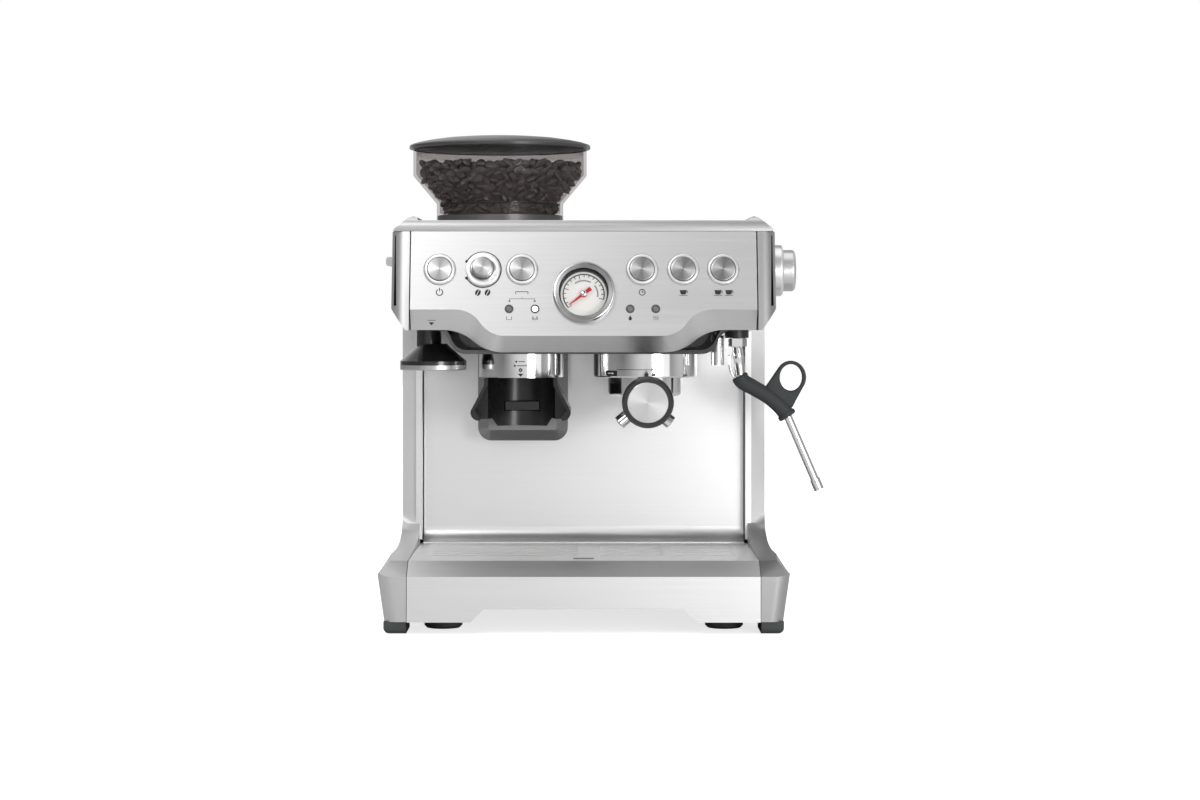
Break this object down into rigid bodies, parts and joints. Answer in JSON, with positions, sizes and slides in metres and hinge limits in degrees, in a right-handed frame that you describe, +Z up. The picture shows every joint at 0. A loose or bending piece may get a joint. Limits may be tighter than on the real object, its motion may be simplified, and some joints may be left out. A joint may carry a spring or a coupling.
{
  "type": "espresso machine",
  "caption": "Countertop espresso machine with built-in grinder, bean hopper, pressure gauge, brewing group, steam wand and drip tray, in brushed steel.",
  "frame": {"origin": "on the worktop, under the middle of the whole object's bounding box", "axes": "+Z up, +Y from the front to the rear, +X to the right seen from the front"},
  "size_m": [0.3506, 0.3516, 0.394],
  "materials": {
    "brushed_steel": "fine horizontal brushing",
    "polished_steel": "polished",
    "spun_steel": "radial spun face",
    "painted_silver": "satin",
    "satin_knob": "satin",
    "dark_plastic": "fine moulded grain",
    "gloss_black": "gloss",
    "grey_plastic": "satin",
    "rubber_grey": "matt",
    "smoked_clear": "smoked clear plastic",
    "clear": "clear",
    "dial_face": "printed",
    "red": "satin",
    "lamp": "diffuse lens",
    "cast_alloy": "as cast",
    "burr_steel": "ground",
    "motor_steel": "painted"
  },
  "bodies": {
    "machine": {"base_pan": "dark_plastic", "rubber_feet": "rubber_grey", "side_cover_left": "brushed_steel", "side_cover_right": "brushed_steel", "splash_panel": "brushed_steel", "rear_cover": "dark_plastic", "head_fascia": "brushed_steel", "head_underside": "grey_plastic", "cup_tray": "brushed_steel", "control_bezels": "polished_steel", "gauge_bezel": "polished_steel", "gauge_dial": "dial_face", "gauge_lens": "clear", "indicator_lamps": "lamp", "grinder_outlet_collar": "polished_steel", "grind_cradle": "gloss_black", "cradle_frame": "painted_silver", "grinder_case": "dark_plastic", "grinder_motor": "motor_steel", "upper_burr": "burr_steel", "group_collar": "polished_steel", "group_gasket": "rubber_grey", "shower_screen": "polished_steel", "thermocoil": "cast_alloy", "water_pump": "motor_steel", "water_hoses": "rubber_grey", "hot_water_spout": "polished_steel", "steam_mount": "dark_plastic", "cord_gland": "dark_plastic", "screws": "brushed_steel"},
    "power_button": {"power_button": "spun_steel"},
    "filter_size_button": {"filter_size_button": "spun_steel"},
    "program_button": {"program_button": "spun_steel"},
    "one_cup_button": {"one_cup_button": "spun_steel"},
    "two_cup_button": {"two_cup_button": "spun_steel"},
    "grind_amount_dial": {"grind_amount_dial": "spun_steel"},
    "gauge_needle": {"gauge_needle": "red"},
    "grind_size_dial": {"grind_size_dial": "satin_knob"},
    "steam_dial": {"steam_dial": "satin_knob"},
    "grind_switch": {"grind_switch": "dark_plastic"},
    "burr_spindle": {"lower_burr": "burr_steel"},
    "hopper": {"hopper_bowl": "smoked_clear"},
    "hopper_lid": {"hopper_lid": "dark_plastic"},
    "hopper_lock": {"hopper_lock": "dark_plastic"},
    "portafilter": {"portafilter_body": "polished_steel", "filter_basket": "polished_steel", "portafilter_spout": "polished_steel", "portafilter_handle": "gloss_black", "handle_cap": "spun_steel"},
    "wand_swivel": {"steam_nut": "polished_steel"},
    "steam_wand": {"steam_tube": "polished_steel", "wand_grip": "rubber_grey"},
    "tamper": {"tamper_disc": "brushed_steel", "tamper_handle": "gloss_black"},
    "water_tank": {"water_tank": "smoked_clear"},
    "tank_lid": {"tank_lid": "smoked_clear"},
    "drip_tray": {"drip_front": "brushed_steel", "drip_pan": "dark_plastic", "drip_grid": "brushed_steel"},
    "tray_float": {"tray_float": "grey_plastic"}
  },
  "joints": [
    {"name": "power_button_press", "type": "slide", "parent": "machine", "child": "power_button", "axis": [0, 0.9703, -0.2419], "range_m": [0, 0.0016], "stiffness_N_per_m": 600},
    {"name": "filter_size_button_press", "type": "slide", "parent": "machine", "child": "filter_size_button", "axis": [0, 0.9703, -0.2419], "range_m": [0, 0.0016], "stiffness_N_per_m": 600},
    {"name": "program_button_press", "type": "slide", "parent": "machine", "child": "program_button", "axis": [0, 0.9703, -0.2419], "range_m": [0, 0.0016], "stiffness_N_per_m": 600},
    {"name": "one_cup_button_press", "type": "slide", "parent": "machine", "child": "one_cup_button", "axis": [0, 0.9703, -0.2419], "range_m": [0, 0.0016], "stiffness_N_per_m": 600},
    {"name": "two_cup_button_press", "type": "slide", "parent": "machine", "child": "two_cup_button", "axis": [0, 0.9703, -0.2419], "range_m": [0, 0.0016], "stiffness_N_per_m": 600},
    {"name": "grind_amount_turn", "type": "hinge", "parent": "machine", "child": "grind_amount_dial", "pos_m": [-0.09496, -0.10638, 0.2806], "axis": [0, -0.9703, 0.2419], "range_deg": [-135, 135]},
    {"name": "gauge_needle_turn", "type": "hinge", "parent": "machine", "child": "gauge_needle", "pos_m": [-0.01626, -0.11092, 0.2624], "axis": [0, -0.9703, 0.2419], "range_deg": [-240, 0], "stiffness_Nm_per_rad": 0.001},
    {"name": "grind_size_turn", "type": "hinge", "parent": "machine", "child": "grind_size_dial", "pos_m": [-0.16706, -0.04424, 0.2876], "axis": [-1, 0, 0], "range_deg": [-120, 120]},
    {"name": "steam_dial_turn", "type": "hinge", "parent": "machine", "child": "steam_dial", "pos_m": [0.13454, -0.04424, 0.2806], "axis": [1, 0, 0], "range_deg": [-90, 90]},
    {"name": "grind_switch_press", "type": "slide", "parent": "machine", "child": "grind_switch", "axis": [0, 1, 0], "range_m": [0, 0.003], "stiffness_N_per_m": 400},
    {"name": "burr_spin", "type": "hinge", "parent": "machine", "child": "burr_spindle", "pos_m": [-0.08626, 0.03776, 0.271], "axis": [0, 0, 1], "continuous": true},
    {"name": "hopper_lift", "type": "slide", "parent": "machine", "child": "hopper", "axis": [0, 0, 1], "range_m": [0, 0.09]},
    {"name": "hopper_lid_lift", "type": "slide", "parent": "hopper", "child": "hopper_lid", "axis": [0, 0, 1], "range_m": [0, 0.05]},
    {"name": "hopper_lock_turn", "type": "hinge", "parent": "hopper", "child": "hopper_lock", "pos_m": [-0.08626, 0.03776, 0.331], "axis": [0, 0, 1], "range_deg": [-90, 0]},
    {"name": "portafilter_turn", "type": "hinge", "parent": "machine", "child": "portafilter", "pos_m": [0.03324, -0.04424, 0.2053], "axis": [0, 0, 1], "range_deg": [-45, 0]},
    {"name": "wand_swivel_turn", "type": "hinge", "parent": "machine", "child": "wand_swivel", "pos_m": [0.10574, -0.06424, 0.2225], "axis": [0, 0, 1], "range_deg": [-70, 40]},
    {"name": "wand_tilt", "type": "hinge", "parent": "wand_swivel", "child": "steam_wand", "pos_m": [0.10574, -0.06424, 0.2225], "axis": [0, 1, 0], "range_deg": [-20, 15]},
    {"name": "tamper_pull", "type": "slide", "parent": "machine", "child": "tamper", "axis": [0, 0, -1], "range_m": [0, 0.08]},
    {"name": "tank_lift", "type": "slide", "parent": "machine", "child": "water_tank", "axis": [0, 0, 1], "range_m": [0, 0.2]},
    {"name": "tank_lid_turn", "type": "hinge", "parent": "water_tank", "child": "tank_lid", "pos_m": [-0.01626, 0.17026, 0.32], "axis": [-1, 0, 0], "range_deg": [0, 90]},
    {"name": "drip_tray_slide", "type": "slide", "parent": "machine", "child": "drip_tray", "axis": [0, -1, 0], "range_m": [0, 0.16]},
    {"name": "tray_float_rise", "type": "slide", "parent": "drip_tray", "child": "tray_float", "axis": [0, 0, 1], "range_m": [0, 0.008]}
  ]
}
